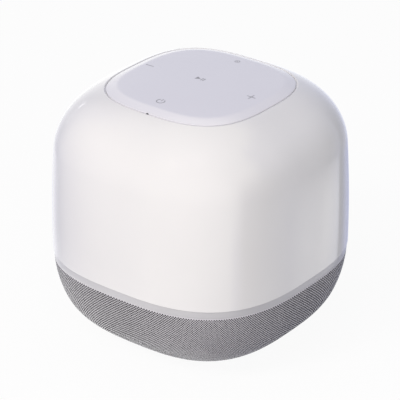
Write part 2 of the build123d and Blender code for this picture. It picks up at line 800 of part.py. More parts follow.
# Main board on the chamber's roof
with BuildPart() as main_board:
    with BuildSketch(Plane.XY.offset(board_z)):
        with Locations((0, board_mid_y)):
            RectangleRounded(board_length, board_rear_y - board_front_y, board_corner)
        with Locations(*board_holes):
            Circle(board_screw[0] + free_play, mode=Mode.SUBTRACT)
    extrude(amount=board_thickness)
main_board.part.label = "main_board"
export_step(main_board.part, "parts/main_board.step")

# Chips, coils, connectors and the speaker header of the main board
with BuildPart() as board_parts:
    with Locations((0, 0, board_top_z)):
        with Locations(amplifier_place):
            Box(*amplifier_size, align=standing)
        with Locations(*inductor_places):
            Box(*inductor_size, align=standing)
        with Locations((touch_ribbon_x, touch_plug_y)):
            Box(ribbon_width + 2 * ribbon_grip, connector_length, connector_height, align=rearward)
        with Locations((0, board_front_y + battery_plug_inset)):
            Box(*battery_plug, align=rearward)
        with Locations((0, board_rear_y)):
            Box(ribbon_width + 2 * ribbon_grip, rear_plug_length, connector_height,
                align=(Align.CENTER, Align.MAX, Align.MIN))
    with Locations((0, lead_y, board_z)):
        Box(*header_size, align=hanging)
board_parts.part.label = "board_parts"
export_step(board_parts.part, "parts/board_parts.step")

# Shield can over the processor and radio
with BuildPart() as shield_can:
    with Locations((*can_place, board_top_z)):
        Box(*can_size, align=standing)
        Box(can_size[0] - 2 * can_sheet, can_size[1] - 2 * can_sheet, can_size[2] - can_sheet,
            align=standing, mode=Mode.SUBTRACT)
shield_can.part.label = "shield_can"
export_step(shield_can.part, "parts/shield_can.step")

# Flat cable from the touch board down to the main board
touch_end_z = touch_board_z - touch_connector_height / 2
with BuildPart() as touch_ribbon:
    with BuildSketch(Plane.YZ.offset(touch_ribbon_x)):
        with BuildLine() as touch_route:
            FilletPolyline(
                (touch_plug_y + connector_length, ribbon_z),
                (touch_ribbon_bow, ribbon_z),
                (touch_ribbon_bow, touch_end_z),
                (touch_connector_y + connector_length, touch_end_z),
                radius=ribbon_bend,
            )
        trace(touch_route.line, line_width=ribbon_thickness)
    extrude(amount=ribbon_width / 2, both=True)
touch_ribbon.part.label = "touch_ribbon"
export_step(touch_ribbon.part, "parts/touch_ribbon.step")

# Aerial strip on the flat flank of the chamber
with BuildPart() as antenna:
    with Locations((-chamber_half, 0, aerial_z)):
        Box(*aerial_size, align=(Align.MAX, Align.CENTER, Align.CENTER))
antenna.part.label = "antenna"
export_step(antenna.part, "parts/antenna.step")

# Battery on its foam pad, between the fences of the roof, and its lead to the board
with BuildPart() as battery_pad:
    with Locations((0, battery_y, chamber_top_z)):
        Box(battery_size[0] - 2 * battery_pad_margin, battery_size[1] - 2 * battery_pad_margin,
            battery_pad_height, align=standing)
battery_pad.part.label = "battery_pad"
export_step(battery_pad.part, "parts/battery_pad.step")

with BuildPart() as battery_pack:
    with Locations((0, battery_y, chamber_top_z + battery_pad_height)):
        Box(*battery_size, align=standing)
    fillet(battery_pack.edges().filter_by(Axis.X), battery_round)
battery_pack.part.label = "battery_pack"
export_step(battery_pack.part, "parts/battery_pack.step")

battery_rear_y = battery_y + battery_size[1] / 2
battery_wire_z = board_z + board_thickness / 2
wire_plane = Plane(origin=(0, battery_rear_y, battery_wire_z), x_dir=(1, 0, 0), z_dir=(0, 1, 0))
with BuildPart() as battery_lead:
    with BuildSketch(wire_plane):
        with GridLocations(battery_wire_spacing, 1, 2, 1):
            Circle(battery_wire_radius)
    extrude(amount=board_front_y - battery_wire_end - battery_rear_y)
battery_lead.part.label = "battery_lead"
export_step(battery_lead.part, "parts/battery_lead.step")

# Power board screwed to the bosses of the shell, with its connector on the inner side
with BuildPart() as power_board:
    with BuildSketch(port_plane):
        RectangleRounded(*power_board_size, power_board_corner)
        with Locations(*port_holes):
            Circle(board_screw[0] + free_play, mode=Mode.SUBTRACT)
    extrude(amount=-power_board_thickness)
    with BuildSketch(port_plane.offset(-power_board_thickness)):
        Rectangle(power_plug[0], power_plug[1])
    extrude(amount=-power_plug[2])
power_board.part.label = "power_board"
export_step(power_board.part, "parts/power_board.step")

# Power socket: a slot-shaped metal sleeve with a tongue, flush with the rear wall
with BuildPart() as usb_socket:
    with BuildSketch(port_plane):
        SlotOverall(*socket_size)
    extrude(amount=socket_length)
    with BuildSketch(port_plane.offset(socket_length)):
        SlotOverall(socket_size[0] - 2 * socket_sheet, socket_size[1] - 2 * socket_sheet)
    extrude(amount=-socket_depth, mode=Mode.SUBTRACT)
    with BuildSketch(port_plane.offset(socket_length - socket_depth)):
        RectangleRounded(*socket_tongue, socket_tongue_round)
    extrude(amount=socket_depth - socket_tongue_inset)
usb_socket.part.label = "usb_socket"
export_step(usb_socket.part, "parts/usb_socket.step")

# Flat cable from the power board up to the rear of the main board
power_ribbon_y = power_board_y - power_plug[2] / 2
with BuildPart() as power_ribbon:
    with BuildSketch(Plane.YZ):
        with BuildLine() as power_route:
            FilletPolyline(
                (power_ribbon_y, port_z + power_plug[1] / 2),
                (power_ribbon_y, ribbon_z),
                (board_rear_y, ribbon_z),
                radius=ribbon_bend,
            )
        trace(power_route.line, line_width=ribbon_thickness)
    extrude(amount=ribbon_width / 2, both=True)
power_ribbon.part.label = "power_ribbon"
export_step(power_ribbon.part, "parts/power_ribbon.step")

# Screws, one group for each joint
with BuildPart() as base_screws:
    with Locations((0, 0, underside_z + head_recess_depth)):
        with PolarLocations(base_screw_radius, 4, start_angle=45):
            pan_head_screw(*base_screw)
base_screws.part.label = "base_screws"
export_step(base_screws.part, "parts/base_screws.step")

with BuildPart() as driver_screws:
    with Locations((0, 0, driver_z - flange_plate)):
        with PolarLocations(driver_screw_radius, 4):
            pan_head_screw(*driver_screw)
driver_screws.part.label = "driver_screws"
export_step(driver_screws.part, "parts/driver_screws.step")

with BuildPart() as shell_screws:
    with Locations((0, 0, baffle_z)):
        with PolarLocations(shell_screw_radius, 4, start_angle=45):
            pan_head_screw(*shell_screw)
shell_screws.part.label = "shell_screws"
export_step(shell_screws.part, "parts/shell_screws.step")

with BuildPart() as chamber_screws:
    with Locations(*turned_over(tab_places, flange_z + flange_thickness)):
        pan_head_screw(*chamber_screw)
chamber_screws.part.label = "chamber_screws"
export_step(chamber_screws.part, "parts/chamber_screws.step")

with BuildPart() as board_screws:
    with Locations(*turned_over(board_holes, board_top_z)):
        pan_head_screw(*board_screw)
board_screws.part.label = "board_screws"
export_step(board_screws.part, "parts/board_screws.step")

with BuildPart() as power_screws:
    with Locations(port_plane.offset(-power_board_thickness)):
        with Locations(*port_holes):
            pan_head_screw(*board_screw)
power_screws.part.label = "power_screws"
export_step(power_screws.part, "parts/power_screws.step")
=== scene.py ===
import bpy
import json
import math
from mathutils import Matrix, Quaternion, Vector


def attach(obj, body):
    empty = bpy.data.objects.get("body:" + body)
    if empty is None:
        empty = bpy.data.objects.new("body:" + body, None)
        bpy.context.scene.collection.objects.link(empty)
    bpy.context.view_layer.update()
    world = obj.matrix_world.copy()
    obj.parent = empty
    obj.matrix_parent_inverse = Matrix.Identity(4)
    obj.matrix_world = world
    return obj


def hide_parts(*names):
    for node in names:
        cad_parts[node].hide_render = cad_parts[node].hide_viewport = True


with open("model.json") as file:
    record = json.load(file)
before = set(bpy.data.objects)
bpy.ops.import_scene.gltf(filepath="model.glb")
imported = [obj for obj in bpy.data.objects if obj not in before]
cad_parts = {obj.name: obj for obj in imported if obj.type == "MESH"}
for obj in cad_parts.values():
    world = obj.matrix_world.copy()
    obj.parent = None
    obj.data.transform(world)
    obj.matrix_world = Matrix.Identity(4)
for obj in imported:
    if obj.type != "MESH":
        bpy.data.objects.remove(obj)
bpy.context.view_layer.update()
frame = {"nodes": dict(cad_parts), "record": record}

nodes = frame["nodes"]
scene = bpy.context.scene
scene.view_settings.view_transform = "Standard"

# the body's form in metres: a soft square whose side is two arcs above the shell's edge and two below it
bodyForm = {"half": 0.055, "edgeZ": 0.0362, "crownZ": 0.1076, "undersideZ": 0.0015,
            "planPower": 2.85, "topPower": 3.0, "step": 0.0003}
upperSide = {"half": bodyForm["half"], "flank": 0.590, "turn": 0.0292,
             "rise": bodyForm["crownZ"] - bodyForm["edgeZ"], "sense": 1}
lowerSide = {"half": bodyForm["half"] - bodyForm["step"], "flank": 0.0524, "turn": 0.0244,
             "rise": bodyForm["edgeZ"] - bodyForm["undersideZ"], "sense": -1}


def joinAngle(side):
    return math.asin((side["rise"] - side["turn"]) / (side["flank"] - side["turn"]))


def turnCentre(side):  # half width at the centre of the second arc
    return side["half"] - side["flank"] + (side["flank"] - side["turn"]) * math.cos(joinAngle(side))


def sectionAt(side, angle, inset=0.0):  # half width, height and squareness at this lean of the side
    centre, lift, radius = side["half"] - side["flank"], 0.0, side["flank"]
    if angle > joinAngle(side):
        centre, lift, radius = turnCentre(side), side["rise"] - side["turn"], side["turn"]
    half = centre + (radius - inset) * math.cos(angle)
    lift += (radius - inset) * math.sin(angle)
    power = bodyForm["planPower"]
    power += (bodyForm["topPower"] - power) * max(0.0, side["sense"] * lift / side["rise"])
    return half, bodyForm["edgeZ"] + side["sense"] * lift, power


def leanAtHalf(side, half, inset=0.0):  # lean of the second arc where it has narrowed to this half width
    return math.acos((half - turnCentre(side)) / (side["turn"] - inset))


def outlinePoint(angle, half, power):
    reach = half * (abs(math.cos(angle)) ** power + abs(math.sin(angle)) ** power) ** (-1 / power)
    return reach * math.cos(angle), reach * math.sin(angle)


def spread(first, last, steps):
    return [first + (last - first) * step / steps for step in range(steps + 1)]


def startOutline(name, columns):
    bpy.ops.object.select_all(action="DESELECT")
    bpy.ops.mesh.primitive_circle_add(vertices=columns, radius=bodyForm["half"])
    piece = bpy.context.object
    piece.name = piece.data.name = name
    return piece


def pullRings(rings):  # extrudes the outline ring by ring along the profile
    bpy.ops.object.mode_set(mode="EDIT")
    bpy.ops.mesh.select_mode(type="EDGE")
    bpy.ops.mesh.select_all(action="SELECT")
    for here, there in zip(rings, rings[1:]):
        bpy.ops.mesh.extrude_region_move(TRANSFORM_OT_translate={"value": (0, 0, there[1] - here[1])})
        bpy.ops.transform.resize(value=(there[0] / here[0], there[0] / here[0], 1))
    bpy.ops.object.mode_set(mode="OBJECT")


def settleRings(piece, rings, columns, turns=None):  # moves each ring's points on to the body's soft square
    for vertex in piece.data.vertices:
        half, height, power = rings[vertex.index // columns]
        turn = math.atan2(vertex.co.y, vertex.co.x)
        if turns:
            turn = turns[round(turn / (2 * math.pi) * columns) % columns]
        x, y = outlinePoint(turn, half, power)
        vertex.co = (x, y, height)


def closeLoops(bridge=True):  # joins the two open ends of a pulled profile, or caps each of them
    bpy.ops.object.mode_set(mode="EDIT")
    bpy.ops.mesh.select_mode(type="EDGE")
    bpy.ops.mesh.select_all(action="DESELECT")
    bpy.ops.mesh.select_non_manifold()
    if bridge:
        bpy.ops.mesh.bridge_edge_loops()
    else:
        bpy.ops.mesh.fill_holes(sides=0)
    bpy.ops.mesh.select_all(action="SELECT")
    bpy.ops.mesh.normals_make_consistent(inside=False)
    bpy.ops.object.mode_set(mode="OBJECT")


def pickOnly(piece):
    bpy.ops.object.select_all(action="DESELECT")
    piece.select_set(True)
    bpy.context.view_layer.objects.active = piece


def bevelEdges(piece, width, segments=2, angle=50):
    pickOnly(piece)
    bevel = piece.modifiers.new("edgeRound", "BEVEL")
    bevel.width, bevel.segments, bevel.limit_method = width, segments, "ANGLE"
    bevel.angle_limit = math.radians(angle)
    bpy.ops.object.modifier_apply(modifier=bevel.name)


def cutAway(piece, cutter):
    pickOnly(piece)
    cut = piece.modifiers.new("cut", "BOOLEAN")
    cut.object, cut.operation, cut.solver = cutter, "DIFFERENCE", "EXACT"
    bpy.ops.object.modifier_apply(modifier=cut.name)


def smoothShade(piece, angle=35):
    pickOnly(piece)
    bpy.ops.object.shade_smooth_by_angle(angle=math.radians(angle))


def placePiece(piece, slotName, *replaced):
    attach(piece, "housing")
    if replaced:
        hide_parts(*replaced)


# white shell: flank, shoulder, seam wall, ledge and inner wall as one closed ring
shellSettings = {"columns": 256, "wall": 0.0024, "flankRings": 6, "shoulderRings": 20, "innerRings": 10,
                 "seamHalf": 0.0341, "seamGap": 0.0005, "seamRound": 0.0003, "roundSteps": 5,
                 "guard": 0.0003, "lipDepth": 0.0008, "lipHalf": 0.03386, "ledgeZ": 0.1036,
                 "ledgeInner": 0.031, "ledgeThickness": 0.0022, "ledgeOuter": 0.0383, "innerStep": 0.001,
                 "edgeRound": 0.00012,
                 "slot": (0.0096, 0.012, 0.0038), "slotZ": 0.0485, "slotRound": 0.497, "slotSteps": 8,
                 "pinhole": 0.0005, "pinholeSides": 24, "pinholeReach": 0.02}


def seamEdge(lean, turns):  # rounds an edge of the seam where the dome leans by this angle
    soft = shellSettings["seamRound"]
    half, height, power = sectionAt(upperSide, lean, soft)
    return [(half + soft * math.cos(turn), height + soft * math.sin(turn), power) for turn in turns]


def buildShell():
    sizes = shellSettings
    wall, topPower = sizes["wall"], bodyForm["topPower"]
    join = joinAngle(upperSide)
    seam = sizes["seamHalf"] + sizes["seamGap"] / 2
    # guard rings beside the rounded edges keep the gloss true
    flank = [0.0] + spread(sizes["guard"] / upperSide["flank"], join, sizes["flankRings"])
    lean = leanAtHalf(upperSide, seam + sizes["seamRound"], sizes["seamRound"])
    shoulder = spread(join, lean, sizes["shoulderRings"])[1:]
    shoulder.insert(-1, lean - sizes["guard"] / upperSide["turn"])
    rings = [sectionAt(upperSide, angle) for angle in flank + shoulder]
    rings += seamEdge(lean, spread(lean, math.pi, sizes["roundSteps"])[1:])
    # a shallow lip floors the seam
    lipZ = sectionAt(upperSide, leanAtHalf(upperSide, seam))[1] - sizes["lipDepth"]
    ledgeZ, lipHalf = sizes["ledgeZ"], sizes["lipHalf"]
    rings += [(seam, lipZ, topPower), (lipHalf, lipZ, topPower), (lipHalf, ledgeZ, topPower),
              (sizes["ledgeInner"], ledgeZ, topPower)]
    under = ledgeZ - sizes["ledgeThickness"]
    rings += [(sizes["ledgeInner"], under, topPower), (sizes["ledgeOuter"], under, topPower)]
    innerLean = leanAtHalf(upperSide, sizes["ledgeOuter"] + sizes["innerStep"], wall)
    rings += [sectionAt(upperSide, angle, wall) for angle in spread(innerLean, 0.0, sizes["innerRings"])]
    shell = startOutline("mainShell", sizes["columns"])
    pullRings(rings)
    settleRings(shell, rings, sizes["columns"])
    closeLoops()
    bevelEdges(shell, sizes["edgeRound"])
    return shell


def slotCutter():
    sizes = shellSettings
    bpy.ops.object.select_all(action="DESELECT")
    bpy.ops.mesh.primitive_cube_add(size=1, location=(0, bodyForm["half"], sizes["slotZ"]))
    cutter = bpy.context.object
    cutter.scale = sizes["slot"]
    bpy.ops.object.transform_apply(location=True, scale=True)
    for edge in cutter.data.edges:
        first, second = (cutter.data.vertices[index].co for index in edge.vertices)
        edge.select = abs(first.y - second.y) > sizes["slot"][1] / 2
    for vertex in cutter.data.vertices:
        vertex.select = False
    bpy.ops.object.mode_set(mode="EDIT")
    bpy.ops.mesh.select_mode(type="EDGE")
    rounding = sizes["slot"][2] * sizes["slotRound"]
    bpy.ops.mesh.bevel(offset=rounding, segments=sizes["slotSteps"], affect="EDGES")
    bpy.ops.object.mode_set(mode="OBJECT")
    return cutter


def pinholeCutter():
    sizes = shellSettings
    bpy.ops.object.select_all(action="DESELECT")
    bpy.ops.mesh.primitive_cylinder_add(vertices=sizes["pinholeSides"], radius=sizes["pinhole"],
                                        depth=sizes["pinholeReach"],
                                        location=(0, -sizes["seamHalf"], sizes["ledgeZ"]))
    bpy.ops.object.transform_apply(location=True)
    return bpy.context.object


# touch panel: the cap of the dome, sunk at its rim, with a nearly flat crown inside a fine crease
# and a pocket for its board underneath
panelSettings = {"columns": 256, "rimRings": 6, "creaseLean": 79.2, "creaseRound": 0.0006, "creaseSteps": 6,
                 "crownRings": 7, "crownEnd": 0.004, "pocket": 0.030, "pocketDepth": 0.0016,
                 "edgeRound": 0.00012, "drop": 0.00003, "rimDrop": 0.00024}


def crownHeight(half):  # height of the panel's crown where it has this half width
    creaseHalf, creaseZ, _ = sectionAt(upperSide, math.radians(panelSettings["creaseLean"]))
    rise = bodyForm["crownZ"] - creaseZ
    return bodyForm["crownZ"] - panelSettings["drop"] - rise * (half / creaseHalf) ** 2


def buildPanel():
    sizes, topPower = panelSettings, bodyForm["topPower"]
    seam = shellSettings["seamHalf"] - shellSettings["seamGap"] / 2
    ledgeZ = shellSettings["ledgeZ"]
    rings = [(sizes["pocket"], ledgeZ + sizes["pocketDepth"], topPower),
             (sizes["pocket"], ledgeZ, topPower), (seam, ledgeZ, topPower)]
    creaseHalf = sectionAt(upperSide, math.radians(sizes["creaseLean"]))[0]
    outer, inner = creaseHalf + sizes["creaseRound"], creaseHalf - sizes["creaseRound"]
    soft, guard = shellSettings["seamRound"], shellSettings["guard"]
    lean = leanAtHalf(upperSide, seam - soft, soft)
    rim = spread(lean + guard / upperSide["turn"], leanAtHalf(upperSide, outer), sizes["rimRings"])
    edge = seamEdge(lean, spread(0.0, lean, shellSettings["roundSteps"]))
    # the rim is sunk deepest at the seam
    sunk = [sizes["rimDrop"]] * len(edge) + spread(sizes["rimDrop"], sizes["drop"], sizes["rimRings"])
    for (half, height, power), drop in zip(edge + [sectionAt(upperSide, angle) for angle in rim], sunk):
        rings.append((half, height - drop, power))
    outerZ, innerZ, creaseZ = rings[-1][1], crownHeight(inner), crownHeight(creaseHalf)
    # the crease is rounded from the rim into the crown
    for share in spread(0.0, 1.0, sizes["creaseSteps"])[1:]:
        half = outer + (inner - outer) * share
        height = outerZ * (1 - share) ** 2 + 2 * creaseZ * share * (1 - share) + innerZ * share ** 2
        rings.append((half, height, topPower))
    crown = spread(inner, sizes["crownEnd"], sizes["crownRings"])[1:]
    rings += [(half, crownHeight(half), topPower) for half in crown]
    panel = startOutline("touchPanel", sizes["columns"])
    pullRings(rings)
    settleRings(panel, rings, sizes["columns"])
    closeLoops(bridge=False)
    bevelEdges(panel, sizes["edgeRound"])
    return panel


mainShell = buildShell()
touchPanel = buildPanel()
for cutter, cutPieces in ((slotCutter(), (mainShell,)), (pinholeCutter(), (mainShell, touchPanel))):
    for piece in cutPieces:
        cutAway(piece, cutter)
    bpy.data.objects.remove(cutter)
smoothShade(mainShell)
smoothShade(touchPanel)
placePiece(mainShell, "white_gloss", "main_shell")
placePiece(touchPanel, "panel_gloss", "touch_panel")
print("shell and panel:", len(mainShell.data.polygons), len(touchPanel.data.polygons), "faces")

# dark disc just under the surface that fills the microphone's pinhole: its acoustic mesh, and painted shade
# where the open hole would be dark
micMeshShadeSettings = {"sides": 24, "radius": 0.00047, "sink": 0.0002, "depth": 0.0011, "edgeRound": 0.00006}


def buildMicMeshAndShade():
    sizes = micMeshShadeSettings
    lean = leanAtHalf(upperSide, shellSettings["seamHalf"])
    half, height, _ = sectionAt(upperSide, lean)
    bpy.ops.object.select_all(action="DESELECT")
    bpy.ops.mesh.primitive_cylinder_add(vertices=sizes["sides"], radius=sizes["radius"],
                                        depth=sizes["depth"],
                                        location=(0, -half, height - sizes["sink"] - sizes["depth"] / 2),
                                        rotation=(math.pi / 2 - lean, 0, 0))
    mesh = bpy.context.object
    mesh.name = mesh.data.name = "micMeshAndShade"
    bpy.ops.object.transform_apply(location=True, rotation=True)
    bevelEdges(mesh, sizes["edgeRound"])
    smoothShade(mesh)
    return mesh


micMeshAndShade = buildMicMeshAndShade()
placePiece(micMeshAndShade, "rubber_black")
print("microphone mesh:", len(micMeshAndShade.data.polygons), "faces")

# touch marks: thin ink shapes that lie on the dome
markSettings = {"ink": 0.00002, "offsetX": -0.0011, "offsetY": 0.00055, "sideX": 0.0256, "frontY": 0.0249,
                "stroke": 0.00042, "powerRadius": 0.00165, "plusLength": 0.0040,
                "playPlace": (-0.0030, 0.0017), "playHeight": 0.0026, "pauseGap": 0.0010,
                "sourceRadius": 0.0010, "barCuts": 5, "ringSteps": 40, "dotSides": 16,
                # shares of the sizes above
                "inkSink": 0.3, "powerGap": 0.2, "powerBarPlace": 0.62, "powerBarLength": 1.05,
                "playRadius": 0.56, "pausePlace": 2.1, "pauseHeight": 0.86, "sourceStroke": 0.8,
                "sourceDot": 0.35}


def markHeight(x, y):
    power = bodyForm["topPower"]
    return crownHeight((abs(x) ** power + abs(y) ** power) ** (1 / power))


def inkBar(x, y, length, width):  # a bar along X with a few cuts, so that it can follow the dome
    bpy.ops.object.select_all(action="DESELECT")
    bpy.ops.mesh.primitive_plane_add(size=1, location=(x, y, 0))
    bar = bpy.context.object
    bar.scale = (length, width, 1)
    bpy.ops.object.transform_apply(location=True, scale=True)
    bpy.ops.object.mode_set(mode="EDIT")
    bpy.ops.mesh.subdivide(number_cuts=markSettings["barCuts"])
    bpy.ops.object.mode_set(mode="OBJECT")
    return bar


def inkUpright(x, y, length, width):  # the same bar turned along Y
    bar = inkBar(0, 0, length, width)
    bar.rotation_euler = (0, 0, math.pi / 2)
    bar.location = (x, y, 0)
    bpy.ops.object.transform_apply(location=True, rotation=True)
    return bar


def inkRing(x, y, radius, stroke, gap=0.0):  # a ring, open towards +Y by this share of its way round
    bpy.ops.object.select_all(action="DESELECT")
    bpy.ops.mesh.primitive_circle_add(vertices=markSettings["ringSteps"], radius=radius - stroke / 2)
    ring = bpy.context.object
    bpy.ops.object.mode_set(mode="EDIT")
    bpy.ops.mesh.select_mode(type="EDGE")
    bpy.ops.mesh.extrude_region_move()
    scale = (radius + stroke / 2) / (radius - stroke / 2)
    bpy.ops.transform.resize(value=(scale, scale, 1))
    bpy.ops.mesh.select_all(action="DESELECT")
    bpy.ops.object.mode_set(mode="OBJECT")
    if gap:
        for polygon in ring.data.polygons:
            polygon.select = abs(math.atan2(polygon.center.x, polygon.center.y)) < math.pi * gap
        bpy.ops.object.mode_set(mode="EDIT")
        bpy.ops.mesh.select_mode(type="FACE")
        bpy.ops.mesh.delete(type="FACE")
        bpy.ops.object.mode_set(mode="OBJECT")
    ring.location = (x, y, 0)
    bpy.ops.object.transform_apply(location=True)
    return ring


def inkDisc(x, y, radius, sides, turn=0.0):
    bpy.ops.object.select_all(action="DESELECT")
    bpy.ops.mesh.primitive_circle_add(vertices=sides, radius=radius, fill_type="TRIFAN", location=(x, y, 0),
                                      rotation=(0, 0, turn))
    bpy.ops.object.transform_apply(location=True, rotation=True)
    return bpy.context.object


def buildMarks():
    sizes = markSettings
    midX, midY, stroke = sizes["offsetX"], sizes["offsetY"], sizes["stroke"]
    powerRadius, sourceRadius, playHeight = sizes["powerRadius"], sizes["sourceRadius"], sizes["playHeight"]
    frontY, rearY = midY - sizes["frontY"], midY + sizes["frontY"]
    plusX, minusX = midX + sizes["sideX"], midX - sizes["sideX"]
    playX, playY = sizes["playPlace"]
    shapes = [inkRing(midX, frontY, powerRadius, stroke, sizes["powerGap"])]
    shapes.append(inkUpright(midX, frontY + powerRadius * sizes["powerBarPlace"],
                             powerRadius * sizes["powerBarLength"], stroke))
    shapes.append(inkUpright(plusX, midY, sizes["plusLength"], stroke))
    arm = (sizes["plusLength"] - stroke) / 2
    for side in (-1, 1):  # the plus has its arms beside the upright bar
        shapes.append(inkBar(plusX + side * (arm + stroke) / 2, midY, arm, stroke))
    shapes.append(inkBar(minusX, midY, sizes["plusLength"], stroke))
    shapes.append(inkDisc(playX, playY, playHeight * sizes["playRadius"], sides=3, turn=-math.pi / 2))
    for step in (0, 1):
        pauseX = playX + sizes["pauseGap"] * (sizes["pausePlace"] + step)
        shapes.append(inkUpright(pauseX, playY, playHeight * sizes["pauseHeight"], stroke))
    shapes.append(inkRing(midX, rearY, sourceRadius, stroke * sizes["sourceStroke"]))
    shapes.append(inkDisc(midX, rearY, sourceRadius * sizes["sourceDot"], sizes["dotSides"]))
    bpy.ops.object.select_all(action="DESELECT")
    for shape in shapes:
        shape.select_set(True)
    bpy.context.view_layer.objects.active = shapes[0]
    bpy.ops.object.join()
    marks = bpy.context.object
    marks.name = marks.data.name = "touchMarks"
    bpy.ops.object.mode_set(mode="EDIT")
    bpy.ops.mesh.select_all(action="SELECT")
    bpy.ops.mesh.normals_make_consistent(inside=False)
    bpy.ops.mesh.extrude_region_move(TRANSFORM_OT_translate={"value": (0, 0, sizes["ink"])})
    bpy.ops.mesh.select_all(action="SELECT")
    bpy.ops.mesh.normals_make_consistent(inside=False)
    bpy.ops.object.mode_set(mode="OBJECT")
    for vertex in marks.data.vertices:
        vertex.co.z += markHeight(vertex.co.x, vertex.co.y) - sizes["ink"] * sizes["inkSink"]
    return marks


touchMarks = buildMarks()
placePiece(touchMarks, "chip_black")
print("touch marks:", len(touchMarks.data.polygons), "faces")

# satin band under the shell's edge
bandSettings = {"columns": 256, "height": 0.0033, "inner": 0.0512, "rings": 4, "edgeRound": 0.00018}


def buildBand():
    sizes, power = bandSettings, bodyForm["planPower"]
    lean = math.asin(sizes["height"] / lowerSide["flank"])
    rings = [(sizes["inner"], bodyForm["edgeZ"], power)]
    rings += [sectionAt(lowerSide, angle) for angle in spread(0.0, lean, sizes["rings"])]
    rings += [(sizes["inner"], bodyForm["edgeZ"] - sizes["height"], power)]
    band = startOutline("trimBand", sizes["columns"])
    pullRings(rings)
    settleRings(band, rings, sizes["columns"])
    closeLoops()
    bevelEdges(band, sizes["edgeRound"])
    smoothShade(band)
    return band


trimBand = buildBand()
placePiece(trimBand, "band_satin", "trim_ring")
print("band:", len(trimBand.data.polygons), "faces")

# perforated grille: a closed bowl whose upper zone carries a staggered lattice of blind diamond holes,
# their pits painted near-black as painted shade for open holes
grilleSettings = {"columns": 316, "holeRows": 29, "rowPitch": 0.001105, "cornerCrowding": 0.18,
                  "turnSteps": 24, "web": 0.00021, "pitDepth": 0.00042, "sheet": 0.0006, "endLean": 85,
                  "plainRings": 4, "innerRings": 7}


def crowdedTurns(columns, crowding):  # column angles, closer together round the four corners
    steps = columns * grilleSettings["turnSteps"]
    power = bodyForm["planPower"]
    angles = [2 * math.pi * step / steps for step in range(steps + 1)]
    points = [Vector(outlinePoint(angle, 1.0, power)) for angle in angles]
    run, total = [0.0], 0.0
    for here, there, angle in zip(points, points[1:], angles):
        total += (there - here).length * (1 - crowding * math.cos(4 * angle))
        run.append(total)
    turns, step = [], 0
    for column in range(columns):
        while run[step + 1] < total * column / columns:
            step += 1
        share = (total * column / columns - run[step]) / (run[step + 1] - run[step])
        turns.append(angles[step] + share * (angles[step + 1] - angles[step]))
    return turns


def leanAlong(side, distance):  # lean of the side at this distance from its widest line, along the surface
    first = side["flank"] * joinAngle(side)
    if distance <= first:
        return distance / side["flank"]
    return joinAngle(side) + (distance - first) / side["turn"]


def dropPicks(kind):  # ends an edit with nothing selected, in this mode of selection
    bpy.ops.mesh.select_mode(type=kind)
    bpy.ops.mesh.select_all(action="DESELECT")
    bpy.ops.object.mode_set(mode="OBJECT")


def buildGrille():
    sizes = grilleSettings
    columns, rows = sizes["columns"], sizes["holeRows"]
    start = lowerSide["flank"] * math.asin(bandSettings["height"] / lowerSide["flank"])
    leans = [leanAlong(lowerSide, start + sizes["rowPitch"] * row) for row in range(rows + 1)]
    end = math.radians(sizes["endLean"])
    rings = [sectionAt(lowerSide, lean) for lean in leans]
    rings += [sectionAt(lowerSide, lean) for lean in spread(leans[-1], end, sizes["plainRings"])[1:]]
    inner = spread(end, leans[0], sizes["innerRings"])
    rings += [sectionAt(lowerSide, lean, sizes["sheet"]) for lean in inner]
    grille = startOutline("perforatedGrille", columns)
    pullRings(rings)
    settleRings(grille, rings, columns, crowdedTurns(columns, sizes["cornerCrowding"]))
    closeLoops()
    mesh = grille.data
    zone = columns * (rows + 1)  # points of the perforated rings come first
    bpy.ops.object.mode_set(mode="EDIT")
    dropPicks("FACE")
    for polygon in mesh.polygons:
        polygon.select = max(polygon.vertices) < zone
    points = len(mesh.vertices)
    bpy.ops.object.mode_set(mode="EDIT")
    bpy.ops.mesh.poke()
    dropPicks("EDGE")
    for edge in mesh.edges:  # the first edges go, so that the poked triangles pair up as diamonds
        first, second = edge.vertices
        inside = max(first, second) < zone
        rim = first // columns == second // columns and first // columns in (0, rows)
        edge.select = inside and not rim
    bpy.ops.object.mode_set(mode="EDIT")
    bpy.ops.mesh.dissolve_edges(use_verts=False, use_face_split=False)
    bpy.ops.mesh.select_all(action="DESELECT")
    bpy.ops.object.mode_set(mode="OBJECT")
    for edge in mesh.edges:
        first, second = edge.vertices
        edge.select = max(first, second) >= points and min(first, second) < zone
    for polygon in mesh.polygons:
        diamond = len(polygon.vertices) == 4 and max(polygon.vertices) >= points
        # the diamonds take the second material, the painted shade of the holes
        polygon.material_index = 1 if diamond else 0
    return grille


def finishGrille(grille):
    sizes, mesh = grilleSettings, grille.data
    bpy.ops.object.mode_set(mode="EDIT")
    bpy.ops.mesh.bevel(offset=sizes["web"] / 2, offset_type="OFFSET", segments=1, affect="EDGES",
                       material=0)
    dropPicks("FACE")
    for polygon in mesh.polygons:
        polygon.select = polygon.material_index == 1 and len(polygon.vertices) == 4
        if not polygon.select:
            polygon.material_index = 0
    bpy.ops.object.mode_set(mode="EDIT")
    bpy.ops.mesh.poke(offset=-sizes["pitDepth"])
    bpy.ops.mesh.select_all(action="DESELECT")
    bpy.ops.object.mode_set(mode="OBJECT")


def makeMaterial(name):
    material = bpy.data.materials.new(name)
    material.use_nodes = True
    return material


perforatedGrille = buildGrille()
perforatedGrille.data.materials.append(makeMaterial("grillePaint"))
# the second material is painted shade: near-black, nearly unglossy pits stand in for the dark inside of
# open holes
perforatedGrille.data.materials.append(makeMaterial("grilleHoleShade"))
finishGrille(perforatedGrille)
placePiece(perforatedGrille, "grille_grey", "grille")
triangles = sum(len(polygon.vertices) - 2 for polygon in perforatedGrille.data.polygons)
print("grille:", triangles, "triangles")

# materials: one shared grain, and a finish for each slot of the record
grainSettings = {"grainDetail": 3.0, "mottleDetail": 4.0, "maskLow": 0.3, "maskHigh": 0.7,
                 "reliefDepth": 0.00005}


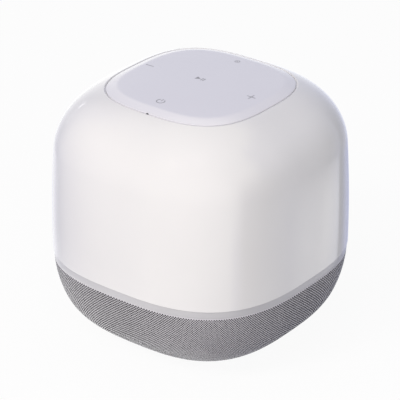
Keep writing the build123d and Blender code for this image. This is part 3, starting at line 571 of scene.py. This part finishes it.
def buildGrainGroup():
    settings = grainSettings
    group = bpy.data.node_groups.new("surfaceGrain", "ShaderNodeTree")
    for socketName in ("Grain Scale", "Mottle Scale"):
        group.interface.new_socket(socketName, in_out="INPUT", socket_type="NodeSocketFloat")
    for socketName in ("Grain", "Mottle"):
        group.interface.new_socket(socketName, in_out="OUTPUT", socket_type="NodeSocketFloat")
    entry = group.nodes.new("NodeGroupInput")
    leave = group.nodes.new("NodeGroupOutput")
    place = group.nodes.new("ShaderNodeTexCoord")
    for scaleName, outName, detail in (("Grain Scale", "Grain", settings["grainDetail"]),
                                       ("Mottle Scale", "Mottle", settings["mottleDetail"])):
        noise = group.nodes.new("ShaderNodeTexNoise")
        noise.inputs["Detail"].default_value = detail
        group.links.new(place.outputs["Object"], noise.inputs["Vector"])
        group.links.new(entry.outputs[scaleName], noise.inputs["Scale"])
        group.links.new(noise.outputs["Fac"], leave.inputs[outName])
    return group


grainGroup = buildGrainGroup()


def mixTone(tree, dark, light):  # two colours of one finish; inputs 0, 6 and 7 are the mask and the colours
    mix = tree.nodes.new("ShaderNodeMix")
    mix.data_type = "RGBA"
    mix.inputs[6].default_value = (*dark, 1)
    mix.inputs[7].default_value = (*light, 1)
    return mix


def toRange(tree, source, low, high):  # spreads a noise mask over this range
    ramp = tree.nodes.new("ShaderNodeMapRange")
    ramp.inputs["From Min"].default_value = grainSettings["maskLow"]
    ramp.inputs["From Max"].default_value = grainSettings["maskHigh"]
    ramp.inputs["To Min"].default_value = low
    ramp.inputs["To Max"].default_value = high
    tree.links.new(source, ramp.inputs["Value"])
    return ramp.outputs["Result"]


def grainedFinish(material, dark, light, rough, grain, mottle, bump, metallic=0.0, coat=0.0, coatRough=0.03,
                  specular=0.5):
    tree = material.node_tree
    shader = tree.nodes["Principled BSDF"]
    shader.inputs["Metallic"].default_value = metallic
    shader.inputs["Specular IOR Level"].default_value = specular
    shader.inputs["Coat Weight"].default_value = coat
    shader.inputs["Coat Roughness"].default_value = coatRough
    surface = tree.nodes.new("ShaderNodeGroup")
    surface.node_tree = grainGroup
    surface.inputs["Grain Scale"].default_value = grain
    surface.inputs["Mottle Scale"].default_value = mottle
    tone = mixTone(tree, dark, light)
    tree.links.new(toRange(tree, surface.outputs["Mottle"], 0, 1), tone.inputs[0])
    tree.links.new(tone.outputs[2], shader.inputs["Base Color"])
    tree.links.new(toRange(tree, surface.outputs["Grain"], rough[0], rough[1]), shader.inputs["Roughness"])
    relief = tree.nodes.new("ShaderNodeBump")
    relief.inputs["Distance"].default_value = grainSettings["reliefDepth"]
    relief.inputs["Strength"].default_value = bump
    tree.links.new(surface.outputs["Grain"], relief.inputs["Height"])
    tree.links.new(relief.outputs["Normal"], shader.inputs["Normal"])


finishes = {
    "white_gloss": dict(dark=(0.845, 0.838, 0.832), light=(0.865, 0.858, 0.852), rough=(0.155, 0.165),
                        grain=900, mottle=24, bump=0.012, coat=1.0, coatRough=0.05),
    "panel_gloss": dict(dark=(0.836, 0.828, 0.872), light=(0.850, 0.842, 0.886), rough=(0.155, 0.165),
                        grain=900, mottle=30, bump=0.010, coat=0.8, coatRough=0.05),
    "band_satin": dict(dark=(0.560, 0.556, 0.572), light=(0.590, 0.586, 0.602), rough=(0.34, 0.42),
                       grain=5200, mottle=60, bump=0.08, coat=0.8, coatRough=0.16),
    "grille_grey": dict(dark=(0.630, 0.618, 0.650), light=(0.670, 0.658, 0.690), rough=(0.36, 0.46),
                        grain=6000, mottle=80, bump=0.10, coat=0.5, coatRough=0.30),
    "frame_black": dict(dark=(0.030, 0.030, 0.032), light=(0.045, 0.045, 0.047), rough=(0.50, 0.65),
                        grain=4200, mottle=70, bump=0.30),
    "chassis_grey": dict(dark=(0.105, 0.105, 0.112), light=(0.130, 0.130, 0.138), rough=(0.50, 0.62),
                         grain=4200, mottle=60, bump=0.30),
    "rubber_black": dict(dark=(0.022, 0.022, 0.022), light=(0.036, 0.036, 0.036), rough=(0.75, 0.90),
                         grain=3000, mottle=90, bump=0.40),
    "steel": dict(dark=(0.50, 0.50, 0.51), light=(0.60, 0.60, 0.61), rough=(0.28, 0.42), grain=5000,
                  mottle=300, bump=0.10, metallic=1.0),
    "ferrite": dict(dark=(0.045, 0.045, 0.050), light=(0.085, 0.085, 0.090), rough=(0.60, 0.75), grain=2600,
                    mottle=500, bump=0.50),
    "paper_black": dict(dark=(0.045, 0.045, 0.045), light=(0.080, 0.078, 0.075), rough=(0.80, 0.95),
                        grain=1800, mottle=420, bump=0.60),
    "spider_cloth": dict(dark=(0.45, 0.33, 0.14), light=(0.60, 0.46, 0.23), rough=(0.75, 0.90), grain=2400,
                         mottle=300, bump=0.50),
    "copper": dict(dark=(0.62, 0.30, 0.15), light=(0.76, 0.41, 0.22), rough=(0.25, 0.38), grain=2600,
                   mottle=400, bump=0.20, metallic=1.0),
    "board_green": dict(dark=(0.018, 0.110, 0.055), light=(0.040, 0.190, 0.100), rough=(0.32, 0.45),
                        grain=2600, mottle=260, bump=0.25),
    "chip_black": dict(dark=(0.016, 0.016, 0.018), light=(0.028, 0.028, 0.031), rough=(0.45, 0.60),
                       grain=4600, mottle=200, bump=0.25),
    "battery_foil": dict(dark=(0.54, 0.55, 0.57), light=(0.66, 0.67, 0.69), rough=(0.30, 0.45), grain=380,
                         mottle=90, bump=0.60, metallic=1.0),
    "flex_white": dict(dark=(0.68, 0.67, 0.62), light=(0.78, 0.77, 0.73), rough=(0.40, 0.50), grain=2200,
                       mottle=140, bump=0.15),
}
inkFinish = dict(dark=(0.300, 0.300, 0.320), light=(0.340, 0.340, 0.360), rough=(0.35, 0.45), grain=3000,
                 mottle=400, bump=0.05)
# painted shade for the blind holes: near-black with little gloss, where open holes would be dark
holeShadeFinish = dict(dark=(0.014, 0.013, 0.015), light=(0.024, 0.023, 0.025), rough=(0.75, 0.90), grain=3000,
                  mottle=200, bump=0.10, specular=0.1)

slotMaterials = {}
for slotName, finish in finishes.items():
    material = bpy.data.materials["grillePaint"] if slotName == "grille_grey" else makeMaterial(slotName)
    grainedFinish(material, **finish)
    slotMaterials[slotName] = material
grainedFinish(bpy.data.materials["grilleHoleShade"], **holeShadeFinish)
inkMaterial = makeMaterial("markInk")
grainedFinish(inkMaterial, **inkFinish)

for subpart in frame["record"]["subparts"]:
    node = nodes[subpart["node"]]
    node.data.materials.clear()
    node.data.materials.append(slotMaterials[subpart["material_slot"]])
# the microphone disc's black rubber is partly painted shade for its pinhole
for piece, slotName in ((mainShell, "white_gloss"), (touchPanel, "panel_gloss"), (trimBand, "band_satin"),
                        (micMeshAndShade, "rubber_black")):
    piece.data.materials.clear()
    piece.data.materials.append(slotMaterials[slotName])
touchMarks.data.materials.clear()
touchMarks.data.materials.append(inkMaterial)
print("materials:", len(bpy.data.materials))

# studio: white floor and backdrop, soft lamps from the front, top and right, even fill,
# and two strips for the highlight on the shoulder
studioSettings = {"fill": (0.41, 0.422, 0.446), "floorShow": 0.93, "floorTone": 0.92, "sheenPeak": 1.8,
                  "dimTint": (0.84, 0.89, 1.27), "dimLevel": 0.6, "plainLevel": 1.05, "lampDistance": 1.5,
                  "floorSize": 6}
lampSettings = {"keyLight": {"azimuth": -15, "elevation": 40, "roll": 0, "size": (0.36, 0.36), "power": 6.4,
                             "colour": (1.0, 0.93, 0.88), "mirrored": False},
                "topLight": {"azimuth": 8, "elevation": 58, "roll": 0, "size": (0.6, 0.6), "power": 3.9,
                             "colour": (1.0, 0.94, 0.97), "mirrored": False},
                "sideLight": {"azimuth": 50, "elevation": 24, "roll": 0, "size": (0.8, 0.8), "power": 3.85,
                              "colour": (1.0, 0.91, 0.85), "mirrored": False},
                "upperStrip": {"azimuth": -106, "elevation": 16.6, "roll": -58, "size": (0.168, 0.02),
                               "power": 0.036, "colour": (1.0, 1.0, 1.0), "mirrored": True},
                "lowerStrip": {"azimuth": -100.4, "elevation": 7.8, "roll": -58, "size": (0.30, 0.02),
                               "power": 0.026, "colour": (1.0, 1.0, 1.0), "mirrored": True}}
# brightness that the gloss mirrors, by azimuth, fitted to the photograph's shading:
# a wide bright front, dim flanks with dark strips and a brighter back
lowSheen = [(-90, 0.40), (-62, 0.50), (-26, 1.10), (64, 1.15), (74, 0.45), (86, 0.05), (136, 0.40),
            (150, 1.00), (164, 0.85), (167, 0.10), (185, 0.60), (194, 0.55), (239, 1.00), (250, 0.90),
            (270, 0.40)]
midSheen = [(-90, 0.50), (-62, 0.55), (-26, 1.15), (64, 1.25), (74, 1.00), (86, 0.20), (112, 0.15),
            (130, 0.30), (150, 0.20), (164, 0.40), (168, 0.20), (194, 0.80), (228, 1.20), (263, 0.45),
            (270, 0.50)]
highSheen = [(-90, 0.70), (-60, 1.00), (-30, 1.05), (100, 1.05), (118, 0.65), (130, 0.80), (172, 0.50),
             (221, 0.55), (232, 0.90), (246, 0.45), (270, 0.70)]
underSheen = [(-90, 1.65), (-50, 1.60), (70, 0.30), (180, 0.25), (235, 1.30), (270, 1.65)]
topSheen = [(-90, 1.15), (270, 1.15)]
# above the floor's sheen, each one begins and is full at these heights of the mirrored direction
sheenLevels = [(lowSheen, -0.60, -0.45), (midSheen, -0.40, -0.34), (highSheen, -0.02, 0.46),
               (topSheen, 0.75, 0.88)]


def rayShare(tree, *names):  # 1 for these kinds of ray, 0 for the rest
    path = tree.nodes.new("ShaderNodeLightPath")
    total = path.outputs[names[0]]
    for name in names[1:]:
        larger = tree.nodes.new("ShaderNodeMath")
        larger.operation = "MAXIMUM"
        tree.links.new(total, larger.inputs[0])
        tree.links.new(path.outputs[name], larger.inputs[1])
        total = larger.outputs[0]
    return total


def mixByRay(tree, share, first, second):
    mix = tree.nodes.new("ShaderNodeMixShader")
    tree.links.new(share, mix.inputs["Fac"])
    tree.links.new(first, mix.inputs[1])
    tree.links.new(second, mix.inputs[2])
    return mix.outputs[0]


def plainGlow(tree, kind, colour):
    glow = tree.nodes.new(kind)
    glow.inputs["Color"].default_value = (*colour, 1)
    return glow.outputs[0]


def sheenColour(level):  # dim parts of the studio are a cool grey, bright parts plain white
    studio = studioSettings
    share = min(1.0, max(0.0, (studio["plainLevel"] - level) / (studio["plainLevel"] - studio["dimLevel"])))
    return [level * (1 + (tint - 1) * share) / studio["sheenPeak"] for tint in studio["dimTint"]]


def sheenRamp(tree, around, stops):  # brightness round the object; the ramp starts and ends at its left
    ramp = tree.nodes.new("ShaderNodeValToRGB")
    elements = ramp.color_ramp.elements
    while len(elements) < len(stops):
        elements.new(0.5)  # placed below
    for element, (azimuth, level) in zip(elements, stops):
        element.position = (azimuth - stops[0][0]) / 360
        element.color = (*sheenColour(level), 1)
    tree.links.new(around, ramp.inputs["Fac"])
    return ramp.outputs["Color"]


def studioSheen(tree):  # floor, upright strips, higher walls and a bright ceiling, one above the other
    place = tree.nodes.new("ShaderNodeTexCoord")
    around = tree.nodes.new("ShaderNodeTexGradient")
    around.gradient_type = "RADIAL"
    tree.links.new(place.outputs["Generated"], around.inputs["Vector"])
    split = tree.nodes.new("ShaderNodeSeparateXYZ")
    tree.links.new(place.outputs["Generated"], split.inputs["Vector"])
    tone = sheenRamp(tree, around.outputs["Fac"], underSheen)
    for stops, low, high in sheenLevels:
        share = tree.nodes.new("ShaderNodeMapRange")
        share.inputs["From Min"].default_value = low
        share.inputs["From Max"].default_value = high
        tree.links.new(split.outputs["Z"], share.inputs["Value"])
        mix = tree.nodes.new("ShaderNodeMix")
        mix.data_type = "RGBA"
        tree.links.new(share.outputs["Result"], mix.inputs[0])
        tree.links.new(tone, mix.inputs[6])
        tree.links.new(sheenRamp(tree, around.outputs["Fac"], stops), mix.inputs[7])
        tone = mix.outputs[2]
    glow = tree.nodes.new("ShaderNodeBackground")
    glow.inputs["Strength"].default_value = studioSettings["sheenPeak"]
    tree.links.new(tone, glow.inputs["Color"])
    return glow.outputs[0]


def buildWorld():  # fill light for the object, the studio in its reflections, and white behind it
    studio = studioSettings
    world = bpy.data.worlds.new("studioWorld")
    scene.world = world
    world.use_nodes = True
    world.cycles.sampling_method = "NONE"
    tree = world.node_tree
    fill = tree.nodes["Background"]
    fill.inputs["Color"].default_value = (*studio["fill"], 1)
    white = plainGlow(tree, "ShaderNodeBackground", (1, 1, 1))
    glossy = rayShare(tree, "Is Glossy Ray", "Is Transmission Ray")
    lit = mixByRay(tree, glossy, fill.outputs[0], studioSheen(tree))
    seen = mixByRay(tree, rayShare(tree, "Is Camera Ray"), lit, white)
    tree.links.new(seen, tree.nodes["World Output"].inputs["Surface"])


def buildFloor():
    studio = studioSettings
    bpy.ops.object.select_all(action="DESELECT")
    bpy.ops.mesh.primitive_plane_add(size=studio["floorSize"])
    floor = bpy.context.object
    floor.name = "studioFloor"
    material = makeMaterial("floorWhite")
    tree = material.node_tree
    tree.nodes.remove(tree.nodes["Principled BSDF"])
    matt = plainGlow(tree, "ShaderNodeBsdfDiffuse", (studio["floorTone"],) * 3)
    white = plainGlow(tree, "ShaderNodeEmission", (1, 1, 1))
    share = tree.nodes.new("ShaderNodeMath")
    share.operation = "MULTIPLY"
    share.inputs[1].default_value = studio["floorShow"]  # the rest stays matt and keeps the shadow
    tree.links.new(rayShare(tree, "Is Camera Ray"), share.inputs[0])
    seen = mixByRay(tree, share.outputs[0], matt, white)
    tree.links.new(seen, tree.nodes["Material Output"].inputs["Surface"])
    floor.data.materials.append(material)
    floor.visible_glossy = False  # the gloss mirrors the studio's sheen below the horizon too


def outward(place):  # azimuth 0 stands in front of the object, positive towards its right
    azimuth, elevation = math.radians(place["azimuth"]), math.radians(place["elevation"])
    return Vector((math.sin(azimuth) * math.cos(elevation), -math.cos(azimuth) * math.cos(elevation),
                   math.sin(elevation)))


def buildLamp(name):
    settings = lampSettings[name]
    away = outward(settings)
    data = bpy.data.lights.new(name, "AREA")
    data.shape, data.energy, data.color = "RECTANGLE", settings["power"], settings["colour"]
    data.size, data.size_y = settings["size"]
    lamp = bpy.data.objects.new(name, data)
    scene.collection.objects.link(lamp)
    lamp.location = away * studioSettings["lampDistance"] + Vector((0, 0, bodyForm["half"]))
    turn = away.to_track_quat("Z", "Y") @ Quaternion((0, 0, 1), math.radians(settings["roll"]))
    lamp.rotation_euler = turn.to_euler()
    lamp.visible_glossy = settings["mirrored"]  # only the strips show in the gloss as thin highlights


buildWorld()
buildFloor()
for lampName in lampSettings:
    buildLamp(lampName)
print("studio ready")

# camera at the photograph's view
cameraSettings = {"azimuth": 37.833, "elevation": 26.821, "distance": 0.8949, "aimRight": -0.000449,
                  "aimZ": 0.05457, "lens": 196.88, "sensor": 36.0}


def buildCamera():
    settings = cameraSettings
    azimuth, back = math.radians(settings["azimuth"]), outward(settings)
    right = Vector((math.cos(azimuth), math.sin(azimuth), 0))
    data = bpy.data.cameras.new("photoCamera")
    data.lens, data.sensor_width, data.sensor_fit = settings["lens"], settings["sensor"], "HORIZONTAL"
    camera = bpy.data.objects.new("photoCamera", data)
    scene.collection.objects.link(camera)
    aim = right * settings["aimRight"] + Vector((0, 0, settings["aimZ"]))
    camera.location = aim + back * settings["distance"]
    camera.rotation_euler = back.to_track_quat("Z", "Y").to_euler()
    scene.camera = camera


buildCamera()
